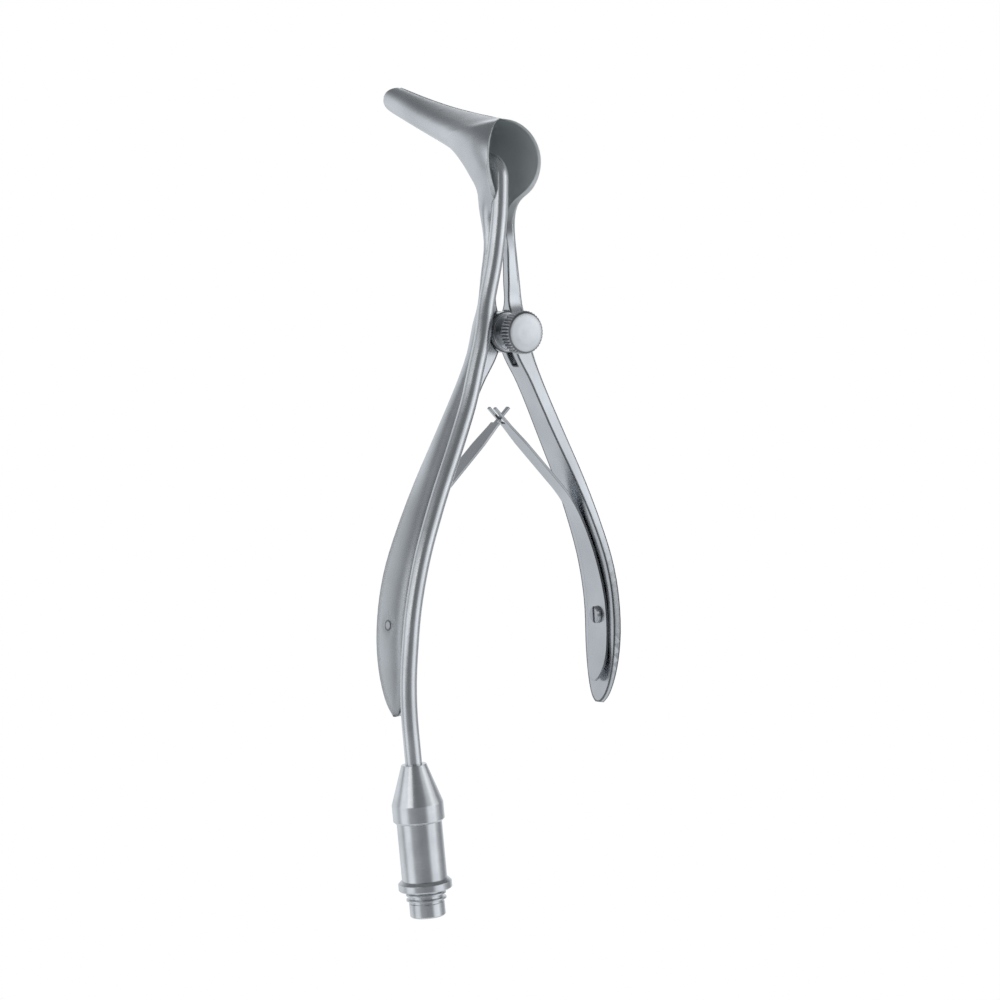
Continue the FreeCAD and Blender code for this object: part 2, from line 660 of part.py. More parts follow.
class TubeRoute:
    """The light tube's centre line along the left arm, from the funnel to the connector."""

    def __init__(self, line):
        self.line = line
        self.points = self.funnel_points() + self.arm_points() + self.connector_points()

    def beside_arm(self, run):
        """Centre of the tube where it lies on the back edge of the arm."""
        spot, lean = self.line.at(run)
        beside = self.line.joint + size("tube_bypass_drop")
        near_joint = bump(run, beside, size("tube_bypass_run"))
        out = size("tube_aside") + size("tube_bypass") * near_joint
        seat = size("tube_seat") + size("tube_corner_seat") * near_joint
        back = self.line.half_depth(run) + size("tube_radius") - seat
        return Vector(-spot.x - out * math.cos(lean), -back, spot.z + out * math.sin(lean))

    def funnel_points(self):
        """From the light exit inside the funnel down to the shank."""
        exit_z = size("rim_centre_z") + size("exit_rise")
        back = -size("elbow_y")
        return [Vector(-size("exit_x"), size("exit_y"), exit_z),
                Vector(-size("elbow_x"), back, exit_z - size("elbow_drop")),
                Vector(-size("throat_x"), back, size("throat_z"))]

    def arm_points(self):
        """Along the arm, with more points round the joint."""
        runs = [getattr(self.line, mark) + past for mark, past in TUBE_BENDS]
        return [self.beside_arm(run) for run in runs]

    def connector_points(self):
        """Into the connector, along its own axis."""
        top = connector_length()
        return [connector_point(top + size("tube_straight")), connector_point(top - size("tube_socket"))]


def connector_length():
    """From the connector's end face to the cone's mouth."""
    parts = ("post_length", "thread_length", "flange_length", "barrel_length", "collar_length",
             "cone_length")
    return sum(size(part) for part in parts)


def connector_point(height):
    """Point on the connector's axis, seen from the pivot."""
    tilt = math.radians(size("connector_tilt"))
    foot = Vector(-size("pivot_x"), -size("pivot_y"), -size("pivot_z"))
    return foot + Vector(-math.sin(tilt), 0, math.cos(tilt)) * height


def rounded_path(points):
    """Straight runs joined by the largest arcs that their lengths allow."""
    edges = []
    last = points[0]
    for before, corner, after in zip(points, points[1:], points[2:]):
        to_before = (before - corner)
        to_after = (after - corner)
        turn = math.pi - to_before.getAngle(to_after)
        reach = 0.45 * min(to_before.Length, to_after.Length)
        radius = reach / math.tan(turn / 2.0)
        to_before.normalize()
        to_after.normalize()
        start = corner + to_before * reach
        end = corner + to_after * reach
        inward = to_before + to_after
        inward.normalize()
        middle = corner + inward * (radius / math.cos(turn / 2.0) - radius)
        edges.append(Part.LineSegment(last, start).toShape())
        edges.append(Part.Arc(start, middle, end).toShape())
        last = end
    edges.append(Part.LineSegment(last, points[-1]).toShape())
    return Part.Wire(edges)


def swept(points, radius):
    """A round bar along a rounded path."""
    path = rounded_path(points)
    ring = Part.Wire(Part.makeCircle(radius, points[0], points[1] - points[0]))
    return path.makePipeShell([ring], True, False)


def placed(feature):
    """Bind a feature's place to the pivot's place in the row."""
    for axis in "xyz":
        feature.setExpression("Placement.Base." + axis, "Sizes.pivot_" + axis)
    return feature


def add_shape(name, shape):
    """A sub-part whose shape is worked out about the pivot."""
    feature = doc.addObject("Part::Feature", name)
    feature.Label = name
    feature.Shape = shape
    return placed(feature)


def make_body(name):
    """A new body with its own label."""
    body = doc.addObject("PartDesign::Body", name)
    body.Label = name
    return body


def origin_part(body, role):
    """One of a body's own origin planes or axes."""
    return next(item for item in body.Origin.OriginFeatures if item.Role == role)


def pin_corner(sketch, edge, expression, kind, axis):
    """Hold one coordinate of an edge's first point on an axis or at a sheet value."""
    number = float(sketch.evalExpression(expression))
    if abs(number) < 1e-9:
        sketch.addConstraint(Sketcher.Constraint("PointOnObject", edge, 1, axis))
        return
    index = sketch.addConstraint(Sketcher.Constraint(kind, -1, 1, edge, 1, number))
    sketch.setExpression("Constraints[%d]" % index, expression)


def outline(body, name, plane, corners):
    """A closed sketch through corners, each coordinate an expression of the sheet's sizes."""
    sketch = body.newObject("Sketcher::SketchObject", name)
    sketch.AttachmentSupport = (origin_part(body, plane), [""])
    sketch.MapMode = "FlatFace"
    doc.recompute()
    spots = [Vector(float(sketch.evalExpression(x)), float(sketch.evalExpression(y)), 0)
             for x, y in corners]
    count = len(spots)
    for edge in range(count):
        sketch.addGeometry(Part.LineSegment(spots[edge], spots[(edge + 1) % count]), False)
    for edge in range(count):
        sketch.addConstraint(Sketcher.Constraint("Coincident", edge, 2, (edge + 1) % count, 1))
    for edge, (x, y) in enumerate(corners):
        pin_corner(sketch, edge, x, "DistanceX", -2)
        pin_corner(sketch, edge, y, "DistanceY", -1)
    return sketch


def turned(name, corners):
    """A body turned about its own Z axis from pairs of radius and height."""
    body = make_body(name)
    sketch = outline(body, name + "_profile", "XZ_Plane", corners)
    turn = body.newObject("PartDesign::Revolution", name + "_turned")
    turn.Profile = sketch
    turn.ReferenceAxis = (sketch, ["V_Axis"])
    turn.Angle = 360
    doc.recompute()
    return body


def cut_up(body, name, corners, height, lift=None):
    """Cut a closed outline upwards from the body's XY plane, or from lift above it."""
    before = body.Shape.Volume
    sketch = outline(body, name + "_outline", "XY_Plane", corners)
    if lift:
        sketch.setExpression("AttachmentOffset.Base.z", lift)
    pocket = body.newObject("PartDesign::Pocket", name)
    pocket.Profile = sketch
    pocket.Reversed = True
    pocket.setExpression("Length", height)
    doc.recompute()
    if body.Shape.Volume >= before:
        raise ValueError(name + " cuts nothing")
    return pocket


def screw_slot(body, reach):
    """A driver slot across a screw's head, whose face lies at height 0."""
    half = "Sizes.screw_slot_width / 2"
    corners = [("-" + reach, "-" + half), (reach, "-" + half), (reach, half), ("-" + reach, half)]
    cut_up(body, body.Label + "_slot", corners, "Sizes.screw_slot_deep")


def aim_back(body, front):
    """Point a body's Z axis from front to back through the pivot, starting at depth front."""
    body.Placement = Placement(ORIGIN, Rotation(Vector(1, 0, 0), 90))
    body.setExpression("Placement.Base.x", "Sizes.pivot_x")
    body.setExpression("Placement.Base.y", "Sizes.pivot_y + " + front)
    body.setExpression("Placement.Base.z", "Sizes.pivot_z")
    return body


def pivot_screw():
    """Slotted pivot screw, fast in the tongue, with its end in the set knob."""
    head = "Sizes.screw_head_radius"
    thick = "Sizes.screw_head_thick"
    length = ("Sizes.screw_head_thick + Sizes.seat_gap * 3 + Sizes.joint_depth + Sizes.washer_thick"
              " + Sizes.hub_length + Sizes.knob_length - Sizes.knob_blind - Sizes.ear_gap")
    body = turned("pivot_screw", [
        ("0", "0"), (head + " - Sizes.screw_bevel", "0"), (head, "Sizes.screw_bevel_deep"), (head, thick),
        ("Sizes.screw_radius", thick), ("Sizes.screw_radius", length), ("0", length)])
    screw_slot(body, "(Sizes.screw_head_radius + 1)")
    return aim_back(body, "Sizes.joint_depth / 2 + Sizes.seat_gap + Sizes.screw_head_thick")


def washer():
    """Flat washer between the fork and the set knob."""
    inner = "(Sizes.screw_radius + Sizes.running_gap)"
    body = turned("knob_washer", [(inner, "0"), ("Sizes.washer_radius", "0"),
                                  ("Sizes.washer_radius", "Sizes.washer_thick"),
                                  (inner, "Sizes.washer_thick")])
    return aim_back(body, "(-Sizes.joint_depth / 2 - Sizes.seat_gap)")


def set_knob():
    """Knurled knob whose hub clamps the joint."""
    bore = "(Sizes.screw_radius + Sizes.running_gap)"
    face = "Sizes.hub_length + Sizes.knob_length"
    body = turned("set_knob", [
        (bore, "0"), ("Sizes.hub_radius", "0"), ("Sizes.hub_radius", "Sizes.hub_length"),
        ("Sizes.knob_radius", "Sizes.hub_length"),
        ("Sizes.knob_radius", face + " - Sizes.knob_chamfer"),
        ("Sizes.knob_radius - Sizes.knob_chamfer", face),
        ("Sizes.knob_radius * 0.5", face + " + Sizes.knob_dome * 0.75"),
        ("0", face + " + Sizes.knob_dome"),
        ("0", face + " - Sizes.knob_blind"), (bore, face + " - Sizes.knob_blind")])
    groove = "Sizes.knob_radius * 3.1416 / Sizes.knurl_count * 0.8"
    pocket = cut_up(body, "knurl_groove", [
        ("Sizes.knob_radius - Sizes.knurl_deep", "0"),
        ("Sizes.knob_radius + 0.3", "-1 * " + groove + " * 1.9"),
        ("Sizes.knob_radius + 0.3", groove + " * 1.9")],
        "Sizes.knob_length + 1", "Sizes.hub_length")
    pattern = body.newObject("PartDesign::PolarPattern", "knurl")
    pattern.Originals = [pocket]
    pattern.Axis = (origin_part(body, "Z_Axis"), [""])
    pattern.Angle = 360
    pattern.setExpression("Occurrences", "Sizes.knurl_count")
    body.Tip = pattern
    doc.recompute()
    return aim_back(body, "(-Sizes.joint_depth / 2 - Sizes.seat_gap * 2 - Sizes.washer_thick)")


def spring_screw(name, line, side):
    """Slotted screw that holds a leaf, flush with the handle's outer face."""
    run = line.run_at_drop(size("leaf_screw_drop"))
    spot, outward, _ = line.inner_face(run)
    grip = size("leaf_gap") * 2 + size("leaf_thick")
    head = size("leaf_head_radius")
    top = size("leaf_head_thick")
    shank = Part.makeCylinder(size("leaf_screw_radius"), top + grip + line.thickness(run))
    edge = size("screw_edge")
    button = Part.makeCone(head - edge, head, edge)
    button = button.fuse(Part.makeCylinder(head, top - edge, Vector(0, 0, edge)))
    half = size("screw_slot_width") / 2.0
    slot = block(Vector(-FAR, -half, -FAR), Vector(FAR, half, size("leaf_slot_deep")))
    screw = button.fuse(shank).cut(slot)
    start = spot - outward * (top + grip)
    screw = screw.transformed(Placement(start, Rotation(Vector(0, 0, 1), outward)).toMatrix(), True)
    if side < 0:
        screw = screw.mirror(ORIGIN, Vector(1, 0, 0))
    return add_shape(name, screw)


def stand_on_connector(body):
    """Lean a connector piece along the connector's axis, from the row's origin."""
    body.Placement = Placement(ORIGIN, Rotation(Vector(0, 1, 0), -size("connector_tilt")))
    return body


def connector():
    """Plug end, threaded ring, flange, barrel and cone, stacked from the end face up."""
    post = "Sizes.post_radius"
    core = "Sizes.core_radius"
    thread_low = "Sizes.post_length"
    thread_top = thread_low + " + Sizes.thread_length"
    flange_top = thread_top + " + Sizes.flange_length"
    barrel_top = flange_top + " + Sizes.barrel_length"
    collar_top = barrel_top + " + Sizes.collar_length"
    mouth = collar_top + " + Sizes.cone_length"
    socket = mouth + " - Sizes.tube_socket"
    bore = "(Sizes.tube_radius - Sizes.tube_wall)"
    window = "Sizes.window_inset + Sizes.window_thick"
    stand_on_connector(turned("connector_post", [
        ("Sizes.window_radius", "0"), (post + " - Sizes.post_chamfer", "0"),
        (post, "Sizes.post_chamfer"), (post, thread_low),
        (core, thread_low), (core, barrel_top), (bore, barrel_top), (bore, window),
        ("Sizes.window_radius", window)]))
    crest = "Sizes.thread_radius"
    root = "(Sizes.thread_radius - Sizes.thread_deep)"
    pitch = "Sizes.thread_length / 5"
    steps = [(core, thread_low), (root, thread_low)]
    for turn in (1, 3):
        low = thread_low + " + " + pitch + " * %d" % turn
        high = thread_low + " + " + pitch + " * %d" % (turn + 1)
        steps += [(root, low), (crest, low + " + Sizes.thread_flank"),
                  (crest, high + " - Sizes.thread_flank"), (root, high)]
    steps += [(root, thread_top), (core, thread_top)]
    stand_on_connector(turned("thread_ring", steps))
    stand_on_connector(turned("flange_ring", [
        (core, thread_top), ("Sizes.flange_radius - Sizes.flange_chamfer", thread_top),
        ("Sizes.flange_radius", thread_top + " + Sizes.flange_chamfer"),
        ("Sizes.flange_radius", flange_top + " - Sizes.flange_bevel"),
        ("Sizes.flange_radius - Sizes.flange_bevel", flange_top), (core, flange_top)]))
    stand_on_connector(turned("connector_barrel", [
        (core, flange_top), ("Sizes.barrel_radius", flange_top),
        ("Sizes.barrel_radius", barrel_top), (core, barrel_top)]))
    stand_on_connector(turned("connector_cone", [
        (bore, barrel_top), ("Sizes.collar_radius - Sizes.collar_chamfer", barrel_top),
        ("Sizes.collar_radius", barrel_top + " + Sizes.collar_chamfer"),
        ("Sizes.collar_radius", collar_top),
        ("Sizes.cone_mouth_radius", mouth), ("Sizes.tube_radius", mouth),
        ("Sizes.tube_radius", socket), (bore, socket)]))
    stand_on_connector(turned("end_window", [
        ("0", "Sizes.window_inset"), ("Sizes.window_radius", "Sizes.window_inset"),
        ("Sizes.window_radius", window), ("0", window)]))


def light_guide(line):
    """Light tube, the fibre bundle inside it and the lens at its exit. Returns the tube's outside."""
    points = TubeRoute(line).points
    outer = size("tube_radius")
    inner = outer - size("tube_wall")
    lens = size("lens_thick")
    whole = swept(points, outer)
    hollow = swept(points, inner)
    add_shape("light_tube", whole.cut(hollow))
    foot = connector_point(size("window_inset") + size("window_thick"))
    glass = Part.makeCylinder(inner, lens, points[0], points[1] - points[0])
    bundle = swept(points[:-1] + [foot], inner - size("fibre_gap"))
    add_shape("fibre_bundle", bundle.cut(glass))
    add_shape("exit_lens", glass)
    return whole


def check_document():
    """Stop if any object failed or any sub-part has no sound shape. Returns the sub-parts."""
    doc.recompute()
    for item in doc.Objects:
        if "Invalid" in item.State or "Error" in item.State:
            raise ValueError("%s failed: %s" % (item.Label, item.State))
    parts = [item for item in doc.Objects
             if item.TypeId in ("Part::Feature", "PartDesign::Body")]
    for item in parts:
        if item.Shape.isNull() or not item.Shape.isValid() or item.Shape.Volume <= 0:
            raise ValueError(item.Label + " has no sound shape")
        print("%s: %.1f cubic mm, %d solids" % (item.Label, item.Shape.Volume, len(item.Shape.Solids)))
    return parts


def main():
    """Build every sub-part and write each to its own file."""
    fill_sheet()
    line = ArmLine()
    tube = light_guide(line)
    add_shape("left_arm", left_arm_shape(line, tube))
    add_shape("right_arm", right_arm_shape(line))
    add_shape("left_leaf_spring", leaf_shape(line, False).mirror(ORIGIN, Vector(1, 0, 0)))
    add_shape("right_leaf_spring", leaf_shape(line, True))
    spring_screw("left_spring_screw", line, -1)
    spring_screw("right_spring_screw", line, 1)
    pivot_screw()
    washer()
    set_knob()
    connector()
    parts = check_document()
    os.makedirs("parts", exist_ok=True)
    for item in parts:
        item.Shape.exportStep("parts/%s.step" % item.Label)


main()
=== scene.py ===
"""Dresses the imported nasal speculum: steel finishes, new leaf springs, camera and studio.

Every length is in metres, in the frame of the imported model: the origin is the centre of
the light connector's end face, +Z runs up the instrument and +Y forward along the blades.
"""
import json
import logging
import math
from dataclasses import dataclass
from enum import Enum
from typing import Any, Dict, List, Sequence, Set, Tuple, Union

import bmesh
import bpy
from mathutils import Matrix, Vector

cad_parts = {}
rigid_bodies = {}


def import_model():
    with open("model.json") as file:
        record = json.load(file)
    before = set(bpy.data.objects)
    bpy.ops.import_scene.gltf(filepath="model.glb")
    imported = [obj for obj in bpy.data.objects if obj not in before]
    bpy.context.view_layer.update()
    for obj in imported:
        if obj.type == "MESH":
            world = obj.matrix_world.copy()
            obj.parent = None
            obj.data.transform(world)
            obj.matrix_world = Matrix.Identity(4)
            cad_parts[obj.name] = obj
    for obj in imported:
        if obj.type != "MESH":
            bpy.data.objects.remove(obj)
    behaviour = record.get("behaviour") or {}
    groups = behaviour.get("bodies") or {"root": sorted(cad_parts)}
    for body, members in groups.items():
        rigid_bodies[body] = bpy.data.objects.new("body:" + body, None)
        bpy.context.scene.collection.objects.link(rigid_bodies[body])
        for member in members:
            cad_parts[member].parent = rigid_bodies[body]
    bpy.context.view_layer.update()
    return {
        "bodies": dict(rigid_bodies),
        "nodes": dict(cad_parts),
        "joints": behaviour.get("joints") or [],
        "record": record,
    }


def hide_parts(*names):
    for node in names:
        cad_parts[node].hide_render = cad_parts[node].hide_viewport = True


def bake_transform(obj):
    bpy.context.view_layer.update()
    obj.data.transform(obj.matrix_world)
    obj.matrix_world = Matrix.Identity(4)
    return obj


LOG = logging.getLogger("speculum")
PIVOT = Vector((0.0259, 0.0078, 0.1385))
ORIGIN = Vector((0.0, 0.0, 0.0))
CONNECTOR_TILT = math.radians(6.3)
CONNECTOR_AXIS = Vector((-math.sin(CONNECTOR_TILT), 0.0, math.cos(CONNECTOR_TILT)))
PIVOT_AXIS = Vector((0.0, -1.0, 0.0))

ACROSS = (1.0, 0.0, 0.0)
FORWARD = (0.0, 1.0, 0.0)
UP = (0.0, 0.0, 1.0)
BLACK = (0.0, 0.0, 0.0, 1.0)
WHITE = (1.0, 1.0, 1.0, 1.0)
CLOUDY = (0.3, 0.7)

Colour = Tuple[float, float, float]


def tinted(colour: Colour, share: float) -> Tuple[float, ...]:
    """Darken or lighten a colour and make it opaque.

    Args:
        colour: The colour.
        share: What each part is multiplied by.

    Returns:
        The colour with an alpha of 1.
    """
    return tuple(share * part for part in colour) + (1.0,)


class Body(Enum):
    """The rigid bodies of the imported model."""

    LEFT = "left_half"
    RIGHT = "right_half"
    KNOB = "knob"


class Signal:
    """A node's output that takes part in Python arithmetic."""

    def __init__(self, graph: "Graph", socket: Any) -> None:
        """Keep the socket and the graph it belongs to.

        Args:
            graph: The material's graph.
            socket: An output socket.
        """
        self.graph = graph
        self.socket = socket

    def __add__(self, other: "Operand") -> "Signal":
        """Sum."""
        return self.graph.math("ADD", self, other)

    def __radd__(self, other: "Operand") -> "Signal":
        """Sum with a number in front."""
        return self.graph.math("ADD", other, self)

    def __sub__(self, other: "Operand") -> "Signal":
        """Difference."""
        return self.graph.math("SUBTRACT", self, other)

    def __rsub__(self, other: "Operand") -> "Signal":
        """Difference from a number in front."""
        return self.graph.math("SUBTRACT", other, self)

    def __mul__(self, other: "Operand") -> "Signal":
        """Product."""
        return self.graph.math("MULTIPLY", self, other)

    def __rmul__(self, other: "Operand") -> "Signal":
        """Product with a number in front."""
        return self.graph.math("MULTIPLY", other, self)

    def __truediv__(self, other: "Operand") -> "Signal":
        """Quotient."""
        return self.graph.math("DIVIDE", self, other)

    def eased(self, low: float, high: float) -> "Signal":
        """Go smoothly from 0 at low to 1 at high.

        Args:
            low: Where the result leaves 0.
            high: Where the result reaches 1.

        Returns:
            The eased signal, held between 0 and 1.
        """
        node = self.graph.node(
            "ShaderNodeMapRange",
            {"interpolation_type": "SMOOTHSTEP"},
            {"Value": self, "From Min": low, "From Max": high},
        )
        return Signal(self.graph, node.outputs["Result"])


Operand = Union[float, Signal]


class Graph:
    """The node graph of one material."""

    OUTPUT: str = "ShaderNodeOutputMaterial"

    def __init__(self, name: str) -> None:
        """Make an empty material.

        Args:
            name: The material's name.
        """
        self.material = bpy.data.materials.new(name)
        self.material.use_nodes = True
        self.tree = self.material.node_tree
        self.tree.nodes.clear()

    def node(self, kind: str, settings: Dict[str, Any], values: Dict[Any, Any]) -> Any:
        """Add a node.

        Args:
            kind: The node's type.
            settings: Its properties, set first. A key "stops" holds a ramp's stops.
            values: Numbers, colours or signals for its input sockets, by name or index.

        Returns:
            The node.
        """
        node = self.tree.nodes.new(kind)
        for key, setting in settings.items():
            if key == "stops":
                self.set_stops(node.color_ramp, setting)
            else:
                setattr(node, key, setting)
        for key, value in values.items():
            if isinstance(value, Signal):
                self.tree.links.new(value.socket, node.inputs[key])
            else:
                node.inputs[key].default_value = value
        return node

    @staticmethod
    def set_stops(ramp: Any, stops: Sequence[Tuple[float, Colour]]) -> None:
        """Give a colour ramp its stops.

        Args:
            ramp: The ramp.
            stops: Pairs of position and colour.
        """
        while len(ramp.elements) < len(stops):
            ramp.elements.new(1.0)
        for element, (position, colour) in zip(ramp.elements, stops):
            element.position = position
            element.color = (*colour, 1.0)

    def math(self, operation: str, first: Operand, second: Operand) -> Signal:
        """Work out one arithmetic step.

        Args:
            operation: The Math node's operation.
            first: Its first operand.
            second: Its second operand.

        Returns:
            The result.
        """
        node = self.node("ShaderNodeMath", {"operation": operation}, {0: first, 1: second})
        return Signal(self, node.outputs[0])

    def vector(self, operation: str, first: Any, second: Any) -> Any:
        """Add a vector step.

        Args:
            operation: The Vector Math node's operation.
            first: Its first vector.
            second: Its second vector, or a factor where the operation scales.

        Returns:
            The node.
        """
        slot = "Scale" if operation == "SCALE" else 1
        return self.node("ShaderNodeVectorMath", {"operation": operation}, {0: first, slot: second})

    def moved(self, first: Any, second: Any, operation: str) -> Signal:
        """Work out a vector from two others.

        Args:
            first: The first vector.
            second: The second vector.
            operation: The Vector Math node's operation.

        Returns:
            The resulting vector.
        """
        return Signal(self, self.vector(operation, first, second).outputs["Vector"])

    def length_along(self, spot: Signal, axis: Sequence[float]) -> Signal:
        """Project a vector on an axis.

        Args:
            spot: The vector.
            axis: A unit vector.

        Returns:
            The projection's length.
        """
        return Signal(self, self.vector("DOT_PRODUCT", spot, tuple(axis)).outputs["Value"])

    def blended(self, share: Operand, first: Any, second: Any) -> Signal:
        """Blend two colours or two normals.

        Args:
            share: 0 for the first, 1 for the second.
            first: A colour, or a signal of a colour or a normal.
            second: The same.

        Returns:
            What lies between them.
        """
        node = self.node("ShaderNodeMix", {"data_type": "RGBA"}, {0: share, 6: first, 7: second})
        return Signal(self, node.outputs[2])

    def place(self) -> Signal:
        """The shaded point in the row's frame, moving with its body."""
        return Signal(self, self.node("ShaderNodeTexCoord", {}, {}).outputs["Object"])

    def facing(self, axis: Sequence[float]) -> Signal:
        """How much the face itself, unsmoothed, looks along an axis.

        Args:
            axis: A unit vector.

        Returns:
            1 where it looks that way, -1 where it looks the other way.
        """
        normal = Signal(self, self.node("ShaderNodeNewGeometry", {}, {}).outputs["True Normal"])
        return self.length_along(normal, axis)

    def seen_directly(self) -> Signal:
        """1 for rays from the camera, straight or through glass, and 0 for all others."""
        rays = self.node("ShaderNodeLightPath", {}, {})
        return (Signal(self, rays.outputs["Is Camera Ray"])
                + Signal(self, rays.outputs["Is Transmission Ray"]))

    def mixed(self, share: Signal, first: Any, second: Any) -> Any:
        """Mix two shaders.

        Args:
            share: 0 for the first, 1 for the second.
            first: A shader node.
            second: A shader node.

        Returns:
            The mixing node.
        """
        return self.node("ShaderNodeMixShader", {}, {0: share, 1: Signal(self, first.outputs[0]),
                                                     2: Signal(self, second.outputs[0])})

    def noise(self, spot: Signal, stretch: Sequence[float], detail: float) -> Signal:
        """Smooth noise about 0.5.

        Args:
            spot: Where to sample it.
            stretch: Features per metre along each axis.
            detail: Octaves of finer noise.

        Returns:
            The noise.
        """
        scaled = self.moved(spot, tuple(stretch), "MULTIPLY")
        node = self.node("ShaderNodeTexNoise", {},
                         {"Vector": scaled, "Scale": 1.0, "Detail": detail})
        return Signal(self, node.outputs[0])

    def rounded_normal(self, radius: float, samples: int = 4) -> Signal:
        """The surface's normal with its sharp edges rounded.

        Args:
            radius: The rounding's radius.
            samples: How finely the neighbouring faces are felt for.

        Returns:
            The normal.
        """
        node = self.node("ShaderNodeBevel", {"samples": samples}, {"Radius": radius})
        return Signal(self, node.outputs["Normal"])

    def edge_mask(self, rounded: Signal, full: float = 0.12) -> Signal:
        """How much a point lies on a sharp edge.

        Args:
            rounded: The rounded normal.
            full: The bend at which the mask is 1.

        Returns:
            0 on flat stretches, up to 1 on an edge.
        """
        plain = Signal(self, self.node("ShaderNodeNewGeometry", {}, {}).outputs["Normal"])
        same = Signal(self, self.vector("DOT_PRODUCT", rounded, plain).outputs["Value"])
        return (1.0 - same).eased(0.03 * full, full)

    def bumped(self, height: Signal, depth: float, normal: Signal) -> Signal:
        """Tilt the normal by a height.

        Args:
            height: The height, 0 to 1.
            depth: What a height of 1 stands for.
            normal: The normal it starts from.

        Returns:
            The tilted normal.
        """
        node = self.node("ShaderNodeBump", {}, {"Strength": 1.0, "Distance": depth,
                                                "Height": height, "Normal": normal})
        return Signal(self, node.outputs["Normal"])

    def surface(self, values: Dict[str, Any]) -> None:
        """Finish the material with a Principled shader.

        Args:
            values: Its sockets' numbers, colours or signals.
        """
        self.show(self.node("ShaderNodeBsdfPrincipled", {}, values))

    def show(self, shader: Any) -> None:
        """Make a shader the one that is seen.

        Args:
            shader: The last shader node.
        """
        output = self.node(self.OUTPUT, {}, {})
        self.tree.links.new(shader.outputs[0], output.inputs["Surface"])


class RoomGraph(Graph):
    """The node graph of the surroundings."""

    OUTPUT: str = "ShaderNodeOutputWorld"

    def __init__(self, name: str) -> None:
        """Make an empty world and put the scene in it.

        Args:
            name: The world's name.
        """
        world = bpy.data.worlds.new(name)
        bpy.context.scene.world = world
        world.use_nodes = True
        self.tree = world.node_tree
        self.tree.nodes.clear()


